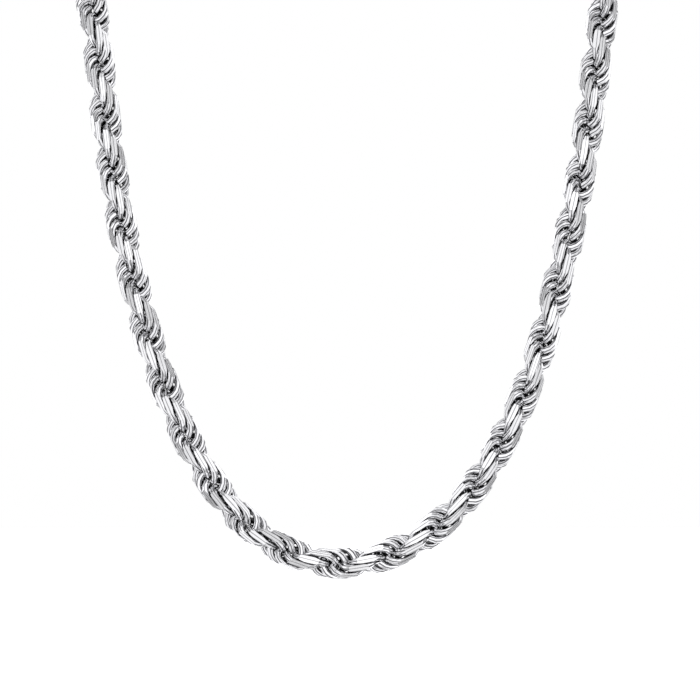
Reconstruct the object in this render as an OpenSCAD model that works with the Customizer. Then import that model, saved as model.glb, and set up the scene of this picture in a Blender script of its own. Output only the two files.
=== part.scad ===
// Rope chain necklace, worn form: one twisted rope that hangs round a neck,
// closed at the nape with two end caps, two jump rings and a plain clasp.
// The nape is at the origin, +Z is up, -Y is the front and lengths are in mm.

/* [Rope] */
// Width across the two strands
rope_w = 5; // [3.6:0.1:6.4]
// Thickness of one strand
strand_d = 3.1; // [2.4:0.1:3.4]
// Length of rope in which the strands change sides
half_turn = 9.4; // [8:0.1:14]

/* [End caps] */
// Depth of rope that a cap holds
cap_depth = 5; // [3:0.5:6]
// Wall of the cap's tube
cap_wall = 0.4; // [0.3:0.05:0.8]
// Thickness of the cap's closed end
cap_end = 0.8; // [0.5:0.1:1.2]
// Space between the rope and the inside of a cap
cap_gap = 0.15; // [0.1:0.05:0.3]

/* [Rings] */
// Inside width of the loop soldered to each cap
loop_in = 2.1; // [1.7:0.1:2.6]
// Inside width of each jump ring
ring_in = 2.9; // [2.7:0.1:3.4]
// Wire of the loops and jump rings
ring_wire = 0.9; // [0.7:0.05:1]
// Space left between two linked pieces
link_gap = 0.15; // [0.1:0.05:0.25]

/* [Clasp] */
// Inside width of the clasp's bow
bow_in = 2.4; // [2:0.1:3]
// Length of the clasp's straight sides
bow_len = 4.5; // [3:0.5:8]
// Wire of the clasp's bow
bow_wire = 1.4; // [1.2:0.1:1.6]
// Thickness of the clasp's heavy side
barrel_d = 2.2; // [1.8:0.1:2.6]
// Inside width of the clasp's eye
eye_in = 1.5; // [1.4:0.1:2]
// Wire of the clasp's eye
eye_wire = 1; // [0.8:0.1:1.1]

/* [Hidden] */

// The route's chosen points, a closed loop from the nape down the left side,
// under the throat and up the right side: across, front to back, height
route = [
    [0, 0, 0], [-9, 0, 0], [-18, 0, 0], [-27, 0, 0],
    [-38.5, -8, -1.5], [-47.5, -21, -5], [-53.5, -37, -10], [-56, -54, -16.5],
    [-55.5, -70.5, -25.5], [-52, -86, -36.5], [-46, -98.5, -50],
    [-41.5, -108, -67], [-39.5, -114.5, -90.5], [-35.5, -119, -110.5],
    [-30.5, -123, -129.5], [-19, -129.5, -152.5],
    [-1, -134.5, -161],
    [18.5, -130, -152.5], [30.5, -123, -130.5],
    [35.5, -119, -112], [40, -114.5, -91], [42.5, -108, -70],
    [45.5, -98.5, -50.5], [52, -86, -36.5], [55.5, -70.5, -25.5],
    [56, -54, -16.5], [53.5, -37, -10], [47.5, -21, -5], [38.5, -8, -1.5],
    [27, 0, 0], [18, 0, 0], [9, 0, 0]
];
points = len(route);

// How far the strands run ahead of an even twist: share of the loop's length
// from its lowest point, half turns ahead
run_ahead = [
    [-0.5, 0.155], [-0.045, -0.165], [0, 0], [0.0715, 0.35], [0.5, 0.44]
];
// Turn of the strands at the lowest point, in degrees
lowest_turn = 20;
// The loop's own plane faces this way
loop_facing = [0, -0.765, 0.644];
// Steps along each stretch of the route where its length is measured
length_steps = 12;
// Turn of the rope from one of its sections to the next, in degrees
section_turn = 27;
// Angles of the corners round the outside of a strand
lobe_angles = [-75, -37.5, 0, 37.5, 75];
// Roundness of the exact pieces
round_fn = 48;
// How far the clasp's straight sides run into its bent ends, which are solid with them
overlap = 0.01;

// Smooth curve of the third degree that the chosen points pull into shape
function near_point(i) = route[(i + points) % points];
function on_route(u) =
    let (i = floor(u))
    let (t = u - i)
    (pow(1 - t, 3) * near_point(i - 1)
        + (3 * pow(t, 3) - 6 * pow(t, 2) + 4) * near_point(i)
        + (-3 * pow(t, 3) + 3 * pow(t, 2) + 3 * t + 1) * near_point(i + 1)
        + pow(t, 3) * near_point(i + 2)) / 6;
function route_heading(u) =
    let (i = floor(u))
    let (t = u - i)
    (-3 * pow(1 - t, 2) * near_point(i - 1)
        + (9 * pow(t, 2) - 12 * t) * near_point(i)
        + (-9 * pow(t, 2) + 6 * t + 3) * near_point(i + 1)
        + 3 * pow(t, 2) * near_point(i + 2)) / 6;
function unit(v) = v / norm(v);

// Distance gone along the loop at each small step, as [distance, place]
step_count = points * length_steps;
step_spots = [for (k = [0 : step_count]) on_route(k / length_steps)];
distance_table = [
    for (k = 0, gone = 0;
         k <= step_count;
         k = k + 1,
         gone = k <= step_count ? gone + norm(step_spots[k] - step_spots[k - 1]) : gone)
    [gone, k / length_steps]
];
loop_length = distance_table[step_count][0];
function place_at(distance) = lookup(distance, distance_table);

// Centre lines of the wires
loop_r = (loop_in + ring_wire) / 2;
ring_r = (ring_in + ring_wire) / 2;
bow_r = (bow_in + bow_wire) / 2;
eye_r = (eye_in + eye_wire) / 2;

// Distance between the centres of two linked rings, pulled almost tight
function linked(r_a, wire_a, r_b, wire_b) =
    r_a + r_b - (wire_a + wire_b) / 2 - link_gap;
ring_to_loop = linked(ring_r, ring_wire, loop_r, ring_wire);
eye_to_ring = linked(eye_r, eye_wire, ring_r, ring_wire);
bow_to_ring = linked(bow_r, bow_wire, ring_r, ring_wire);

// Places along X at the nape, with the clasp set so that the caps match
clasp_left = bow_len / 2 + bow_r + eye_r + eye_to_ring;
clasp_right = bow_len / 2 + bow_to_ring;
clasp_x = (clasp_left - clasp_right) / 2;
ring_x = (clasp_left + clasp_right) / 2;
loop_x = ring_x + ring_to_loop;
cap_face_x = loop_x + loop_r;
rope_end = cap_face_x + cap_end + cap_gap;

// One section of the rope: two round strands side by side
strand_r = strand_d / 2;
strand_offset = rope_w / 2 - strand_r;
notch = sqrt(max(pow(strand_r, 2) - pow(strand_offset, 2), pow(strand_r / 3, 2)));
section = concat(
    [for (a = lobe_angles) [strand_offset + strand_r * cos(a), strand_r * sin(a)]],
    [[0, notch]],
    [for (a = lobe_angles) [-strand_offset - strand_r * cos(a), -strand_r * sin(a)]],
    [[0, -notch]]
);
corners = len(section);

// The sections stand at even steps from one cap to the other
rope_length = loop_length - 2 * rope_end;
section_count = ceil(rope_length / half_turn * 180 / section_turn);
function strand_turn(distance) =
    let (from_lowest = distance - loop_length / 2)
    let (ahead = lookup(from_lowest / loop_length, run_ahead))
    lowest_turn - 180 * (from_lowest / half_turn + ahead);
function section_points(k) =
    let (distance = rope_end + rope_length * k / section_count)
    let (u = place_at(distance))
    let (centre = on_route(u))
    let (along = unit(route_heading(u)))
    let (side = unit(cross(along, loop_facing)))
    let (rise = cross(along, side))
    let (turn = strand_turn(distance))
    let (x_way = side * cos(turn) + rise * sin(turn))
    let (y_way = rise * cos(turn) - side * sin(turn))
    [for (p = section) centre + x_way * p[0] + y_way * p[1]];

module rope() {
    skin_points = [for (k = [0 : section_count]) each section_points(k)];
    skin_faces = [
        for (k = [0 : section_count - 1])
            for (j = [0 : corners - 1])
                let (a = k * corners + j)
                let (b = k * corners + (j + 1) % corners)
                each [[b, a, a + corners], [b, a + corners, b + corners]]
    ];
    first_end = [for (j = [0 : corners - 1]) j];
    last_end = [for (j = [corners - 1 : -1 : 0]) section_count * corners + j];
    color([0.86, 0.86, 0.87])
        polyhedron(skin_points, concat(skin_faces, [first_end, last_end]));
}

// A round wire bent to a full ring that lies flat, its hole along Z
module wire_ring(centre_r, wire) {
    rotate_extrude($fn = round_fn)
        translate([centre_r, 0])
            circle(d = wire, $fn = round_fn);
}

// The same ring stood up, its hole along Y
module standing_ring(centre_r, wire) {
    rotate([90, 0, 0]) wire_ring(centre_r, wire);
}

// A tube closed at the nape's side, with a loop soldered to its closed end;
// its mouth points along +X
module end_cap() {
    bore_r = rope_w / 2 + cap_gap;
    tube_len = cap_end + cap_gap + cap_depth;
    color([0.82, 0.82, 0.84]) {
        union() {
            translate([cap_face_x, 0, 0]) {
                rotate([0, 90, 0]) {
                    difference() {
                        cylinder(h = tube_len, r = bore_r + cap_wall, $fn = round_fn);
                        translate([0, 0, cap_end])
                            cylinder(h = tube_len, r = bore_r, $fn = round_fn);
                    }
                }
            }
            translate([loop_x, 0, 0]) standing_ring(loop_r, ring_wire);
        }
    }
}

module end_cap_left() {
    mirror([1, 0, 0]) end_cap();
}

module end_cap_right() {
    end_cap();
}

module jump_ring_left() {
    color([0.82, 0.82, 0.84])
        translate([-ring_x, 0, 0]) wire_ring(ring_r, ring_wire);
}

module jump_ring_right() {
    color([0.82, 0.82, 0.84])
        translate([ring_x, 0, 0]) wire_ring(ring_r, ring_wire);
}

// Half of a standing ring with its open side towards -X
module bow_end() {
    rotate([90, 0, 0])
        rotate([0, 0, -90])
            rotate_extrude(angle = 180, $fn = round_fn)
                translate([bow_r, 0])
                    circle(d = bow_wire, $fn = round_fn);
}

// The clasp in one plain piece: a closed bow with one heavy side, and its eye
module clasp() {
    color([0.82, 0.82, 0.84]) {
        translate([clasp_x, 0, 0]) {
            union() {
                translate([bow_len / 2, 0, 0]) bow_end();
                translate([-bow_len / 2, 0, 0]) mirror([1, 0, 0]) bow_end();
                for (side = [-1, 1]) {
                    translate([-bow_len / 2 - overlap, 0, side * bow_r])
                        rotate([0, 90, 0])
                            cylinder(h = bow_len + 2 * overlap, d = bow_wire, $fn = round_fn);
                }
                translate([-bow_len / 2, 0, -bow_r])
                    rotate([0, 90, 0])
                        cylinder(h = bow_len, d = barrel_d, $fn = round_fn);
                for (side = [-1, 1]) {
                    translate([side * bow_len / 2, 0, -bow_r])
                        sphere(d = barrel_d, $fn = round_fn);
                }
                translate([-bow_len / 2 - bow_r - eye_r, 0, 0])
                    standing_ring(eye_r, eye_wire);
            }
        }
    }
}

rope();
end_cap_left();
end_cap_right();
jump_ring_left();
jump_ring_right();
clasp();
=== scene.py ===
import math

import bpy
import numpy as np
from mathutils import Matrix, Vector


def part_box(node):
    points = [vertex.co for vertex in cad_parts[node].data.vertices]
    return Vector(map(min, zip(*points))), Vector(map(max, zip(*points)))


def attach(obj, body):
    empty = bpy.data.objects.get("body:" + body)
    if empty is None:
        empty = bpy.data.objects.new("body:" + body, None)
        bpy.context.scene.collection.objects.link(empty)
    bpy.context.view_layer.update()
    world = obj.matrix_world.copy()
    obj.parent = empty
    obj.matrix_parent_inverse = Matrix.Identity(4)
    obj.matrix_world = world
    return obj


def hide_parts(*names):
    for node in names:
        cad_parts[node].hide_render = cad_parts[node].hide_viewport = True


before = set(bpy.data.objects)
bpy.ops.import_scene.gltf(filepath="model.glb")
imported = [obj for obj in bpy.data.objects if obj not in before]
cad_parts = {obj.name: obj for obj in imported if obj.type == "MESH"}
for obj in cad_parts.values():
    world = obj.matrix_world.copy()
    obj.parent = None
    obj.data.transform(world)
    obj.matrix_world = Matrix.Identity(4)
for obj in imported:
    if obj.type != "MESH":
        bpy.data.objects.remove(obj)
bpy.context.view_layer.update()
mm = 0.001


# The rope's route: the chosen points of part.scad, in mm, from the nape down the left side,
# under the throat and up the right side.
ropeRoute = np.array([
    [0, 0, 0], [-9, 0, 0], [-18, 0, 0], [-27, 0, 0],
    [-38.5, -8, -1.5], [-47.5, -21, -5], [-53.5, -37, -10], [-56, -54, -16.5],
    [-55.5, -70.5, -25.5], [-52, -86, -36.5], [-46, -98.5, -50],
    [-41.5, -108, -67], [-39.5, -114.5, -90.5], [-35.5, -119, -110.5],
    [-30.5, -123, -129.5], [-19, -129.5, -152.5],
    [-1, -134.5, -161],
    [18.5, -130, -152.5], [30.5, -123, -130.5],
    [35.5, -119, -112], [40, -114.5, -91], [42.5, -108, -70],
    [45.5, -98.5, -50.5], [52, -86, -36.5], [55.5, -70.5, -25.5],
    [56, -54, -16.5], [53.5, -37, -10], [47.5, -21, -5], [38.5, -8, -1.5],
    [27, 0, 0], [18, 0, 0], [9, 0, 0]
], float)

ropeTwist = {
    "halfTurn": 9.4,                              # mm in which the strands change sides
    "lowestTurn": 20.0,                           # degrees, at the lowest point
    "aheadAt": [-0.5, -0.045, 0, 0.0715, 0.5],    # share of the loop from the lowest point
    "aheadBy": [0.155, -0.165, 0, 0.35, 0.44],    # half turns ahead of an even twist there
    "loopFacing": [0, -0.765, 0.644],             # the way that the loop's own plane faces
    "lengthSteps": 40,                            # small steps from one chosen point to the next
}


def routeSpan(place):
    # The share of its stretch that each place has gone, place - floor(place), and the four chosen
    # points round it.
    first = np.floor(place).astype(int)
    around = ropeRoute[(first + np.arange(-1, 3)[:, None]) % len(ropeRoute)]
    return (place - first)[:, None], around


def routePoint(place):
    # Uniform cubic B-spline: each place blends the four points round it.
    t, (before, here, after, beyond) = routeSpan(place)
    return ((1 - t) ** 3 * before + (3 * t ** 3 - 6 * t ** 2 + 4) * here
            + (-3 * t ** 3 + 3 * t ** 2 + 3 * t + 1) * after + t ** 3 * beyond) / 6


def routeHeading(place):
    # The same blend, differentiated and brought to length 1: the way in which the route runs.
    t, (before, here, after, beyond) = routeSpan(place)
    heading = (-(1 - t) ** 2 * before + (3 * t ** 2 - 4 * t) * here
               + (-3 * t ** 2 + 2 * t + 1) * after + t ** 2 * beyond)
    return heading / np.linalg.norm(heading, axis=1)[:, None]


routePlaces = np.linspace(0, len(ropeRoute), len(ropeRoute) * ropeTwist["lengthSteps"] + 1)
routeSteps = np.linalg.norm(np.diff(routePoint(routePlaces), axis=0), axis=1)
routeDistances = np.concatenate([[0], np.cumsum(routeSteps)])
loopLength = routeDistances[-1]


def strandTurn(distance):
    # Turn at the lowest point - 180 * (distance past it / half turn + half turns ahead). It falls
    # along the route, which makes the lay left-handed.
    fromLowest = distance - loopLength / 2
    ahead = np.interp(fromLowest / loopLength, ropeTwist["aheadAt"], ropeTwist["aheadBy"])
    return ropeTwist["lowestTurn"] - 180 * (fromLowest / ropeTwist["halfTurn"] + ahead)


def ropeFrame(distance):
    # The rope's centre, its axis, and the two directions across it: side = axis x loop's facing and
    # rise = axis x side, both turned round the axis by the strands' turn.
    place = np.interp(distance, routeDistances, routePlaces)
    along = routeHeading(place)
    side = np.cross(along, np.array(ropeTwist["loopFacing"]))
    side /= np.linalg.norm(side, axis=1)[:, None]
    rise = np.cross(along, side)
    turn = np.radians(strandTurn(distance))[:, None]
    lobe = side * np.cos(turn) + rise * np.sin(turn)
    cross = rise * np.cos(turn) - side * np.sin(turn)
    return routePoint(place), along, lobe, cross


print("stage: route of", round(float(loopLength), 1), "mm")


linkSizes = {
    "perHalfTurn": 6.27,     # links in one half turn of the rope
    "ringRadius": 2.48,      # mm from the rope's axis to the middle of the wire
    "wire": 1.14,            # mm thick
    "stretch": 1.08,         # length of a link along the rope against its width
    "mainCut": 2.5,          # mm from the rope's axis to the long flats
    "endCut": 2.92,          # mm from the rope's axis to the flats at their ends
    "endCutTilt": 32.0,      # degrees from a long flat to an end flat
    "endSwell": 0.15,        # how much thicker the squeezed wire is where links cross inside
    "gap": 32.0,             # degrees of arc left open in each link
    "pairCloseness": 0.08,   # how much closer the two links of a soldered pair lie
    "capDepth": 5.0,         # mm of rope inside an end cap
    "seed": 7,               # for the random draws
    "shiftScatter": 0.03,    # mm along the rope
    "tiltScatter": 1.2,      # degrees
    "cutScatter": 0.025,     # mm, of each flat's distance from the rope's axis
    "cornerAngle": 13.0,     # smallest half angle of the strip that becomes a flat
    "deepestCut": 0.9,       # how far past the wire's middle a flat may reach, in wire radii
    "leastFacing": 0.05,     # cosine from a flat's middle under which the flat isn't met
    "sides": 8,              # corners round the wire
    "grainPress": 0.12,      # how short the grain's length is pressed
    "grainRange": 500,       # mm of grain over which the links' starts are strewn
}


def linkPlaces():
    # Distance of each link's centre = first + number * step, with the links of a pair drawn
    # together by half the pair's closeness each. The count is even and fills one cap to the other.
    s = linkSizes
    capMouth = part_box("end_cap_right")[1].x / mm
    reach = (s["ringRadius"] + s["wire"] / 2) * s["stretch"]
    first = capMouth - s["capDepth"] + reach
    halfTurns = (loopLength - 2 * first) / ropeTwist["halfTurn"]
    count = 2 * round(halfTurns * s["perHalfTurn"] / 2)
    step = (loopLength - 2 * first) / (count - 1)
    number = np.arange(count)
    nudge = np.where(number % 2 == 0, 0.5, -0.5) * s["pairCloseness"] * step
    return first + number * step + nudge, number


def linkRows():
    # Angles round a link from one wire end to the other, in degrees, with rows where flats meet or
    # end. A long flat meets an end flat at tan(angle) = (end cut / main cut - cos(tilt)) /
    # sin(tilt), and an end flat ends at cos(angle - tilt) = end cut / outer radius.
    s = linkSizes
    lean = math.radians(s["endCutTilt"])
    outerRadius = s["ringRadius"] + s["wire"] / 2
    cutRatio = s["endCut"] / s["mainCut"]
    meeting = math.degrees(math.atan((cutRatio - math.cos(lean)) / math.sin(lean)))
    ending = s["endCutTilt"] + math.degrees(math.acos(s["endCut"] / outerRadius))
    main = meeting * np.array([-1, -0.5, 0, 0.5, 1])
    ends = np.array([ending, (ending + 90) / 2])
    oneSide = np.concatenate([-ends[::-1], main, ends])
    top = 90 - s["gap"] / 2
    return np.concatenate([[-top], oneSide, [90], 180 + oneSide, [180 + top]])


def flatReach(cut, fromFlat):
    # Distance from the rope's axis to a flat, where it is met = cut / cos(angle from its middle).
    facing = np.cos(fromFlat)
    return np.where(facing > linkSizes["leastFacing"], cut / facing, np.inf)


def linkFaces(flip, isCut):
    # Quads from each row to the next, and a face over each wire end. A flat is the quad that closes
    # the way round between two cut rows. Flipped links take their corners in the other order.
    sides = linkSizes["sides"]
    count, rowCount = isCut.shape
    start = np.arange(count)[:, None, None] * rowCount * sides
    row = start + np.arange(rowCount - 1)[None, :, None] * sides
    side = np.arange(sides)[None, None, :]
    nextSide = (side + 1) % sides
    quads = np.stack([row + side, row + nextSide, row + sides + nextSide, row + sides + side], -1)
    quads = np.where((flip < 0)[:, None, None], quads[..., ::-1], quads)
    firstEnd = start[:, 0] + np.arange(sides)[::-1]
    lastEnd = start[:, 0] + (rowCount - 1) * sides + np.arange(sides)
    wireEnds = [np.where(flip < 0, end[:, ::-1], end) for end in (firstEnd, lastEnd)]
    isFlat = (isCut[:, :-1] & isCut[:, 1:])[..., None] & (side == sides - 1)
    faces = quads.reshape(-1, 4).tolist() + wireEnds[0].tolist() + wireEnds[1].tolist()
    return faces, np.concatenate([isFlat.reshape(-1), np.zeros(2 * count, bool)])


def sharpEdges(mesh, isCut):
    # An edge is sharp on the rim of a flat, where both its points are in cut rows at the first or
    # last corner, and on the rim of a wire end.
    sides, rowCount = linkSizes["sides"], isCut.shape[1]
    ends = np.zeros(len(mesh.edges) * 2, np.int64)
    mesh.edges.foreach_get("vertices", ends)
    ends = ends.reshape(-1, 2)
    atCorner = np.isin(ends % sides, [0, sides - 1]).all(1)
    inCutRow = np.repeat(isCut.reshape(-1), sides)[ends].all(1)
    row = (ends // sides) % rowCount
    onWireEnd = (row[:, 0] == row[:, 1]) & np.isin(row[:, 0], [0, rowCount - 1])
    return (atCorner & inCutRow) | onWireEnd


opennessSizes = {
    "rays": 90,             # directions tried from each corner of a link
    "firstStep": 0.12,      # mm along a ray
    "reach": 2.6,           # mm, how far a neighbour shades
    "steps": 12,            # from the first step to the reach
    "lift": 0.03,           # mm above the wire at which a ray starts
    "neighbours": 5,        # links looked at before and after
}


def openShare(phi, theta, nearby, turns):
    # Share of the directions above a link's surface that meet no wire within a few mm. Points are
    # marched outwards, and each is held against the circles of the links nearby: a point at
    # (u, v, w) of a link's own axes lies sqrt((hypot(u, w) - R) ** 2 + v ** 2) from its circle.
    s, o = linkSizes, opennessSizes
    number = np.arange(o["rays"]) + 0.5
    height = 1 - 2 * number / o["rays"]
    spin = number * math.pi * (3 - math.sqrt(5))
    level = np.sqrt(1 - height ** 2)
    rays = np.stack([level * np.cos(spin), level * np.sin(spin), height], 1)
    wireR = s["wire"] / 2
    arm = s["ringRadius"] + wireR * np.cos(theta)
    points = np.stack([arm * np.cos(phi), wireR * np.sin(theta),
                       arm * np.sin(phi) * s["stretch"]], -1)
    normals = np.stack([np.cos(theta) * np.cos(phi), np.sin(theta),
                        np.cos(theta) * np.sin(phi)], -1)
    facing = np.clip(normals @ rays.T, 0, None)
    blocked = np.zeros(facing.shape, bool)
    for step in np.linspace(o["firstStep"], o["reach"], o["steps"]):
        spots = points[..., None, :] + o["lift"] * normals[..., None, :] + step * rays
        for ahead, turn in zip(nearby, turns):
            u = spots[..., 0] * math.cos(turn) + spots[..., 1] * math.sin(turn)
            v = spots[..., 1] * math.cos(turn) - spots[..., 0] * math.sin(turn)
            w = (spots[..., 2] - ahead) / s["stretch"]
            blocked |= np.hypot(np.hypot(u, w) - s["ringRadius"], v) < wireR
    return (facing * ~blocked).sum(-1) / facing.sum(-1)


def pairOpenness(phi, theta, step):
    # The open share round the first and round the second link of a pair. Another link lies
    # (links apart + closeness of a pair) * step ahead, turned by -180 degrees each half turn.
    reach = opennessSizes["neighbours"]
    apart = np.delete(np.arange(-reach, reach + 1), reach)
    shares = []
    for mirrored in (1, -1):
        closer = np.where(apart % 2 == 0, 0, -mirrored * linkSizes["pairCloseness"])
        ahead = (apart + closer) * step
        turns = np.radians(-180 * ahead / ropeTwist["halfTurn"])
        shares.append(openShare(phi * mirrored, theta, ahead, turns))
    return np.stack(shares)


def linkMesh(name):
    # A round wire bent to an open ring in the plane of the rope's axis and its lobes. Each cross
    # section is a circle cut by a chord where a flat passes: cos(corner) = (flat distance - R) / r.
    # Towards a link's ends the wire swells inwards and sideways, by end swell * sin(angle) ** 4.
    s = linkSizes
    rng = np.random.default_rng(s["seed"])
    distance, number = linkPlaces()
    count = len(distance)
    distance = distance + rng.normal(0, s["shiftScatter"], count)
    centre, along, lobe, cross = ropeFrame(distance)
    tilt = np.radians(rng.normal(0, s["tiltScatter"], count))[:, None]
    lobe, along = (lobe * np.cos(tilt) + along * np.sin(tilt),
                   along * np.cos(tilt) - lobe * np.sin(tilt))
    flip = np.where(number % 2 == 0, 1.0, -1.0)[:, None]

    phi = np.radians(linkRows())[None, :] * np.ones((count, 1))
    mainCut = s["mainCut"] + rng.normal(0, s["cutScatter"], (count, 2))
    endCut = s["endCut"] + rng.normal(0, s["cutScatter"], (count, 2))
    farSide = (np.cos(phi) < 0).astype(int)
    who = np.arange(count)[:, None]
    fromSide = np.where(farSide == 1, phi - math.pi, phi)
    lean = math.radians(s["endCutTilt"])
    reach = np.minimum.reduce([flatReach(mainCut[who, farSide], fromSide),
                               flatReach(endCut[who, farSide], fromSide - lean),
                               flatReach(endCut[who, farSide], fromSide + lean)])
    wireR = s["wire"] / 2
    halfAngle = np.arccos(np.clip((reach - s["ringRadius"]) / wireR, -s["deepestCut"], 1))
    smallest = math.radians(s["cornerAngle"])
    isCut = halfAngle > smallest
    corner = np.maximum(halfAngle, smallest)[..., None]

    theta = corner + (2 * math.pi - 2 * corner) * np.linspace(0, 1, s["sides"])
    swell = 1 + s["endSwell"] * np.sin(phi)[..., None] ** 4
    outwards = s["ringRadius"] + wireR * np.cos(theta) * np.where(np.cos(theta) < 0, swell, 1)
    x = (outwards * np.cos(phi)[..., None])[..., None]
    y = (wireR * np.sin(theta) * swell)[..., None]
    z = (outwards * np.sin(phi)[..., None] * flip[..., None] * s["stretch"])[..., None]
    points = (centre[:, None, None] + x * lobe[:, None, None]
              + z * along[:, None, None] + y * cross[:, None, None]) * mm

    mesh = bpy.data.meshes.new(name)
    faces, isFlat = linkFaces(flip, isCut)
    mesh.from_pydata(points.reshape(-1, 3).tolist(), [], faces)
    mesh.validate()
    mesh.polygons.foreach_set("material_index", isFlat.astype(np.int32))
    mesh.polygons.foreach_set("use_smooth", ~isFlat)
    mesh.attributes.new("sharp_edge", "BOOLEAN", "EDGE").data.foreach_set(
        "value", sharpEdges(mesh, isCut))

    # Where each corner lies on its wire: round the wire in mm, and along it, pressed together so
    # that the polish grain and the painted dark reflection lines run lengthwise. Each link starts
    # at a place of its own.
    grainStart = rng.uniform(0, s["grainRange"], (count, 1, 1))
    grainWay = np.stack(np.broadcast_arrays(
        wireR * np.cos(theta), wireR * np.sin(theta),
        grainStart + s["ringRadius"] * phi[..., None] * s["grainPress"]), -1)
    mesh.attributes.new("grainWay", "FLOAT_VECTOR", "POINT").data.foreach_set(
        "vector", grainWay.reshape(-1).astype(np.float32))

    # How open each corner lies, which the materials turn into painted shade between the links.
    step = (distance[-1] - distance[0]) / (count - 1)
    openness = pairOpenness(phi[0][:, None], theta[0], step)[number % 2]
    mesh.attributes.new("openness", "FLOAT", "POINT").data.foreach_set(
        "value", openness.reshape(-1).astype(np.float32))
    mesh.update()
    return mesh, count


def nodeMaterial(name):
    # A new material with nodes, and its shader.
    material = bpy.data.materials.new(name)
    material.use_nodes = True
    return material, material.node_tree.nodes["Principled BSDF"]


def newGroup(name, inputs, outputs):
    # An empty node group with the named sockets, and its two ends.
    group = bpy.data.node_groups.new(name, "ShaderNodeTree")
    for end, sockets in (("INPUT", inputs), ("OUTPUT", outputs)):
        for socket, kind in sockets.items():
            group.interface.new_socket(socket, in_out=end, socket_type="NodeSocket" + kind)
    return group, group.nodes.new("NodeGroupInput"), group.nodes.new("NodeGroupOutput")


def joinSockets(tree, pairs):
    # One link from output to input for each pair.
    for output, socket in pairs:
        tree.links.new(output, socket)


polishSizes = {
    "detail": 2,
    "noiseFrom": 0.35,         # the noise's value where the metal is smoothest
    "noiseTo": 0.65,           # and where it is roughest
    "bumpDistance": 0.0001,    # metres
}


def polishGroup():
    # Fine polishing marks: roughness = smoothest + (roughest - smoothest) * how far the noise is
    # between its two named values, and normal = a slight bump of the noise.
    group, inside, outside = newGroup(
        "polishMarks",
        {"Way": "Vector", "Scale": "Float", "Smoothest": "Float", "Roughest": "Float",
         "Depth": "Float"},
        {"Roughness": "Float", "Normal": "Vector"})
    noise = group.nodes.new("ShaderNodeTexNoise")
    noise.inputs["Detail"].default_value = polishSizes["detail"]
    spread = group.nodes.new("ShaderNodeMapRange")
    spread.inputs["From Min"].default_value = polishSizes["noiseFrom"]
    spread.inputs["From Max"].default_value = polishSizes["noiseTo"]
    bump = group.nodes.new("ShaderNodeBump")
    bump.inputs["Distance"].default_value = polishSizes["bumpDistance"]
    joinSockets(group, [
        (inside.outputs["Way"], noise.inputs["Vector"]),
        (inside.outputs["Scale"], noise.inputs["Scale"]),
        (noise.outputs["Fac"], spread.inputs["Value"]),
        (inside.outputs["Smoothest"], spread.inputs["To Min"]),
        (inside.outputs["Roughest"], spread.inputs["To Max"]),
        (spread.outputs["Result"], outside.inputs["Roughness"]),
        (inside.outputs["Depth"], bump.inputs["Strength"]),
        (noise.outputs["Fac"], bump.inputs["Height"]),
        (bump.outputs["Normal"], outside.inputs["Normal"]),
    ])
    return group


lineSizes = {
    "detail": 1,
    "detailScale": 1,
    "darkTo": 0.02,    # the bands' value up to which a line is fully dark
}


def lineGroup():
    # Thin dark lines along a wire: bands over the way round it, r * atan2(y, x), that wander. On
    # the links they are painted dark reflection lines, on the fittings brush lines. Clear rises
    # smoothly from 0 in a line to 1 where the bands pass the narrowness.
    group, inside, outside = newGroup(
        "streakAndBrushLines",
        {"Way": "Vector", "Scale": "Float", "Wander": "Float", "Narrow": "Float"},
        {"Clear": "Float"})
    parts = group.nodes.new("ShaderNodeSeparateXYZ")
    turn = group.nodes.new("ShaderNodeMath")
    turn.operation = "ARCTAN2"
    across = group.nodes.new("ShaderNodeMath")
    across.operation = "MULTIPLY"
    across.inputs[1].default_value = linkSizes["wire"] / 2
    unrolled = group.nodes.new("ShaderNodeCombineXYZ")
    bands = group.nodes.new("ShaderNodeTexWave")
    bands.inputs["Detail"].default_value = lineSizes["detail"]
    bands.inputs["Detail Scale"].default_value = lineSizes["detailScale"]
    drawn = group.nodes.new("ShaderNodeMapRange")
    drawn.interpolation_type = "SMOOTHSTEP"
    drawn.inputs["From Min"].default_value = lineSizes["darkTo"]
    joinSockets(group, [
        (inside.outputs["Way"], parts.inputs[0]),
        (parts.outputs["Y"], turn.inputs[0]),
        (parts.outputs["X"], turn.inputs[1]),
        (turn.outputs[0], across.inputs[0]),
        (across.outputs[0], unrolled.inputs["X"]),
        (parts.outputs["Z"], unrolled.inputs["Z"]),
        (unrolled.outputs[0], bands.inputs["Vector"]),
        (inside.outputs["Scale"], bands.inputs["Scale"]),
        (inside.outputs["Wander"], bands.inputs["Distortion"]),
        (bands.outputs["Fac"], drawn.inputs["Value"]),
        (inside.outputs["Narrow"], drawn.inputs["From Max"]),
        (drawn.outputs["Result"], outside.inputs["Clear"]),
    ])
    return group


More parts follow.
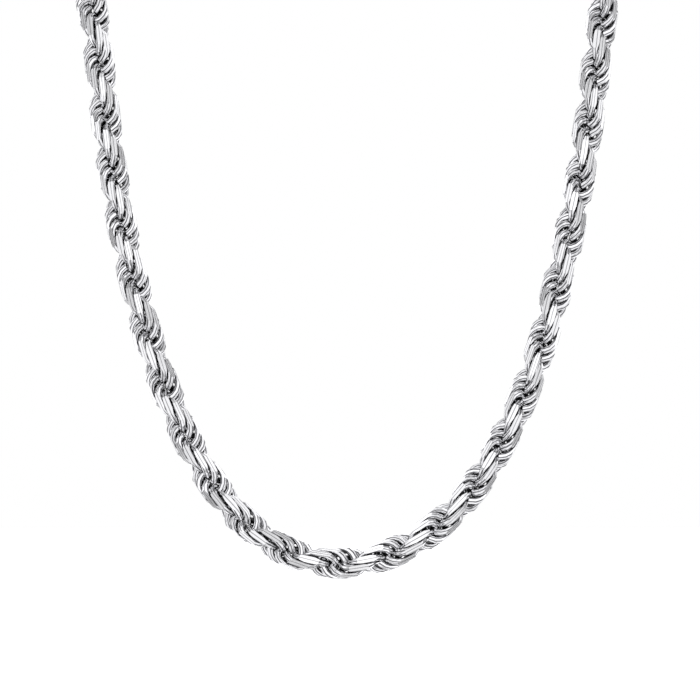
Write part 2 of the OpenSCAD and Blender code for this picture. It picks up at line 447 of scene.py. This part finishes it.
# The dark colour is painted shade in the shut places between the links and painted dark reflection
# lines along their wires and flats; on the fittings it colours the brush lines.
silverLooks = {
    "wireSilver": {"color": (0.9, 0.9, 0.91), "shadeAndLineColor": (0.12, 0.12, 0.125),
                   "shut": 0.06, "open": 0.55, "deepest": 0.25,
                   "lineTone": 0.0, "lineScale": 0.6, "wander": 4.0, "narrow": 0.48,
                   "scale": 2.6, "smooth": 0.05, "rough": 0.12, "depth": 1.0},
    "cutSilver": {"color": (0.95, 0.95, 0.955), "shadeAndLineColor": (0.25, 0.25, 0.255),
                  "shut": 0.05, "open": 0.25, "deepest": 0.1,
                  "level": linkSizes["wire"] / 2,    # one reach all over, so lines run straight
                  "lineTone": 0.12, "lineScale": 0.75, "wander": 5.0, "narrow": 0.3,
                  "scale": 5.0, "smooth": 0.2, "rough": 0.3, "depth": 0.12},
    "fittingSilver": {"color": (0.7, 0.7, 0.71), "shadeAndLineColor": (0.25, 0.25, 0.255),
                      "stretch": (120, 1000, 1000),    # from metres to mm, and pressed along x
                      "lineTone": 0.7, "lineScale": 6.0, "wander": 1.2, "narrow": 0.4,
                      "scale": 1.4, "smooth": 0.1, "rough": 0.24, "depth": 0.25},
}
mixColor = {"first": 6, "second": 7, "result": 2}    # a Mix node's sockets that carry colours
polishMarks = polishGroup()
streakAndBrushLines = lineGroup()


def placeGroup(tree, group, values):
    # The group in a material, with its named inputs set.
    placed = tree.nodes.new("ShaderNodeGroup")
    placed.node_tree = group
    for socket, value in values.items():
        placed.inputs[socket].default_value = value
    return placed


def wireWay(tree, look):
    # For the links: the way along the wire from its attribute, and how open each place lies, from
    # the deepest tone where it is shut to 1 where it is open: painted shade in the shut places
    # between the links. A level look puts x at one value.
    grain = tree.nodes.new("ShaderNodeAttribute")
    grain.attribute_name = "grainWay"
    openness = tree.nodes.new("ShaderNodeAttribute")
    openness.attribute_name = "openness"
    unshaded = tree.nodes.new("ShaderNodeMapRange")
    unshaded.interpolation_type = "SMOOTHSTEP"
    unshaded.inputs["From Min"].default_value = look["shut"]
    unshaded.inputs["From Max"].default_value = look["open"]
    unshaded.inputs["To Min"].default_value = look["deepest"]
    tree.links.new(openness.outputs["Fac"], unshaded.inputs["Value"])
    if "level" not in look:
        return grain.outputs["Vector"], unshaded.outputs["Result"]
    level = tree.nodes.new("ShaderNodeMapping")
    level.inputs["Location"].default_value = (look["level"], 0, 0)
    level.inputs["Scale"].default_value = (0, 1, 1)
    tree.links.new(grain.outputs["Vector"], level.inputs["Vector"])
    return level.outputs["Vector"], unshaded.outputs["Result"]


def fittingWay(tree, look):
    # For the fittings: Object coordinates, stretched and turned so that x, along them, becomes z.
    place = tree.nodes.new("ShaderNodeTexCoord")
    turned = tree.nodes.new("ShaderNodeMapping")
    turned.inputs["Rotation"].default_value = (0, math.pi / 2, 0)
    turned.inputs["Scale"].default_value = look["stretch"]
    tree.links.new(place.outputs["Object"], turned.inputs["Vector"])
    return turned.outputs["Vector"]


def silver(name):
    # Metal whose colour goes from its dark colour to its own by the lines' tone, and on the links
    # by the lines' tone * how open the place lies. On the links the dark colour is painted shade in
    # the shut places and painted dark reflection lines along the wires and flats; on the fittings
    # it colours brush lines.
    look = silverLooks[name]
    material, shader = nodeMaterial(name)
    tree = material.node_tree
    shader.inputs["Metallic"].default_value = 1.0
    marks = placeGroup(tree, polishMarks, {"Scale": look["scale"], "Smoothest": look["smooth"],
                                           "Roughest": look["rough"], "Depth": look["depth"]})
    drawn = placeGroup(tree, streakAndBrushLines, {"Scale": look["lineScale"], "Wander": look["wander"],
                                          "Narrow": look["narrow"]})
    lines = tree.nodes.new("ShaderNodeMapRange")
    lines.inputs["To Min"].default_value = look["lineTone"]
    # Dark colour to own colour: painted shade and painted reflection lines on the links, brush
    # lines on the fittings.
    shadeAndLineMix = tree.nodes.new("ShaderNodeMix")
    shadeAndLineMix.data_type = "RGBA"
    shadeAndLineMix.inputs[mixColor["first"]].default_value = (*look["shadeAndLineColor"], 1)
    shadeAndLineMix.inputs[mixColor["second"]].default_value = (*look["color"], 1)
    if "shut" in look:
        way, unshaded = wireWay(tree, look)
        kept = tree.nodes.new("ShaderNodeMath")
        kept.operation = "MULTIPLY"
        joinSockets(tree, [(unshaded, kept.inputs[0]), (lines.outputs["Result"], kept.inputs[1])])
        shown = kept.outputs[0]
    else:
        way, shown = fittingWay(tree, look), lines.outputs["Result"]
    joinSockets(tree, [
        (way, marks.inputs["Way"]),
        (way, drawn.inputs["Way"]),
        (drawn.outputs["Clear"], lines.inputs["Value"]),
        (shown, shadeAndLineMix.inputs[0]),
        (shadeAndLineMix.outputs[mixColor["result"]], shader.inputs["Base Color"]),
        (marks.outputs["Roughness"], shader.inputs["Roughness"]),
        (marks.outputs["Normal"], shader.inputs["Normal"]),
    ])
    return material


linkShape, linkCount = linkMesh("rope_links")
ropeLinks = bpy.data.objects.new("rope_links", linkShape)
bpy.context.scene.collection.objects.link(ropeLinks)
linkShape.materials.append(silver("wireSilver"))
linkShape.materials.append(silver("cutSilver"))
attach(ropeLinks, "root")
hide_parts("rope")
print("stage:", linkCount, "links,", len(linkShape.polygons), "faces")

fittingSilver = silver("fittingSilver")
for fitting in ("end_cap_left", "end_cap_right", "jump_ring_left", "jump_ring_right", "clasp"):
    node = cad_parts[fitting]
    node.data.materials.clear()
    node.data.materials.append(fittingSilver)
print("stage: fittings finished")


floorLook = {
    "height": -0.26,
    "width": 10.0,
    "strips": 4,
    "color": (0.92, 0.92, 0.92, 1),
    "rough": 0.9,
    "glowColor": (1, 1, 1, 1),
    "glow": 0.5,
}


def floorMesh():
    # A flat grid, x and y each running evenly over the width. No wall hides the part from behind;
    # from under its height the floor does.
    s = floorLook
    run = np.linspace(-s["width"] / 2, s["width"] / 2, s["strips"] + 1)
    x, y = np.meshgrid(run, run)
    points = np.stack([x, y, np.full(x.shape, s["height"])], -1)
    i, j = np.meshgrid(np.arange(s["strips"]), np.arange(s["strips"]), indexing="ij")
    corner = i * (s["strips"] + 1) + j
    above = corner + s["strips"] + 1
    faces = np.stack([corner, corner + 1, above + 1, above], -1)
    mesh = bpy.data.meshes.new("studioFloor")
    mesh.from_pydata(points.reshape(-1, 3).tolist(), [], faces.reshape(-1, 4).tolist())
    return mesh


studioFloor = bpy.data.objects.new("studioFloor", floorMesh())
bpy.context.scene.collection.objects.link(studioFloor)
floorPaper, floorShader = nodeMaterial("floorPaper")
floorShader.inputs["Base Color"].default_value = floorLook["color"]
floorShader.inputs["Roughness"].default_value = floorLook["rough"]
floorShader.inputs["Emission Color"].default_value = floorLook["glowColor"]
floorShader.inputs["Emission Strength"].default_value = floorLook["glow"]
studioFloor.data.materials.append(floorPaper)
studioFloor.visible_glossy = False    # the metal mirrors the darker room and not the pale floor

softLights = {
    "frontLight": {"at": (0.0, -1.9, 0.45), "size": (1.4, 1.4), "glow": 0.25},
    "topLight": {"at": (0.0, -0.5, 1.2), "size": (1.4, 0.4), "glow": 0.4},
}
lightsAim = np.array([0, -0.09, -0.1])
for name, s in softLights.items():
    lamp = bpy.data.lights.new(name, "AREA")
    lamp.shape = "RECTANGLE"
    lamp.size, lamp.size_y = s["size"]
    lamp.energy = s["glow"] * math.pi * s["size"][0] * s["size"][1]    # even glow over its face
    holder = bpy.data.objects.new(name, lamp)
    holder.location = s["at"]
    towards = Vector(lightsAim - np.array(s["at"]))
    holder.rotation_euler = towards.to_track_quat("-Z", "Y").to_euler()
    bpy.context.scene.collection.objects.link(holder)

# The room that the metal mirrors: bands of tone by place = (1 - y of the direction) / 2, from the
# back at 0 to the front at 1. The camera itself sees the plain surround.
roomLook = {
    "tones": [(0.0, 0.55), (0.03, 0.6), (0.07, 1.5), (0.26, 1.3), (0.31, 0.36), (0.46, 0.32),
              (0.5, 1.2), (0.68, 1.15), (0.72, 0.45), (0.78, 0.45), (0.82, 1.03), (1.0, 1.06)],
    "blueness": 1.02,               # blue against red and green
    "surround": (1, 1, 1, 1),
}
studioWorld = bpy.data.worlds.new("studioWorld")
bpy.context.scene.world = studioWorld
studioWorld.use_nodes = True
worldNodes = studioWorld.node_tree.nodes
mirroredRoom = worldNodes["Background"]
roomWay = worldNodes.new("ShaderNodeTexCoord")
roomParts = worldNodes.new("ShaderNodeSeparateXYZ")
towardsFront = worldNodes.new("ShaderNodeMapRange")
towardsFront.inputs["From Min"].default_value = 1
towardsFront.inputs["From Max"].default_value = -1
roomRamp = worldNodes.new("ShaderNodeValToRGB")
roomStops = roomRamp.color_ramp.elements
roomStops.remove(roomStops[1])
for place, tone in roomLook["tones"]:
    stop = roomStops[0] if place == 0 else roomStops.new(place)
    stop.position = place
    stop.color = (tone, tone, tone * roomLook["blueness"], 1)
plainSurround = worldNodes.new("ShaderNodeBackground")
plainSurround.inputs["Color"].default_value = roomLook["surround"]
rayKind = worldNodes.new("ShaderNodeLightPath")
eitherSurround = worldNodes.new("ShaderNodeMixShader")
joinSockets(studioWorld.node_tree, [
    (roomWay.outputs["Generated"], roomParts.inputs[0]),
    (roomParts.outputs["Y"], towardsFront.inputs["Value"]),
    (towardsFront.outputs["Result"], roomRamp.inputs["Fac"]),
    (roomRamp.outputs["Color"], mirroredRoom.inputs["Color"]),
    (rayKind.outputs["Is Camera Ray"], eitherSurround.inputs[0]),
    (mirroredRoom.outputs[0], eitherSurround.inputs[1]),
    (plainSurround.outputs[0], eitherSurround.inputs[2]),
    (eitherSurround.outputs[0], worldNodes["World Output"].inputs["Surface"]),
])
bpy.context.scene.view_settings.view_transform = "Standard"

cameraSizes = {
    "at": (0.00082, -1.533, -0.1232),
    "distance": 1.4,          # metres to the plane where the frame's width is measured
    "frameWidth": 0.1148,     # metres
    "sensor": 36.0,           # mm
}
photoCamera = bpy.data.cameras.new("photoCamera")
photoCamera.sensor_width = cameraSizes["sensor"]
photoCamera.lens = cameraSizes["sensor"] * cameraSizes["distance"] / cameraSizes["frameWidth"]
cameraHolder = bpy.data.objects.new("photoCamera", photoCamera)
cameraHolder.location = cameraSizes["at"]
cameraHolder.rotation_euler = (math.pi / 2, 0, 0)
bpy.context.scene.collection.objects.link(cameraHolder)
bpy.context.scene.camera = cameraHolder
print("stage: floor, lights and camera set")
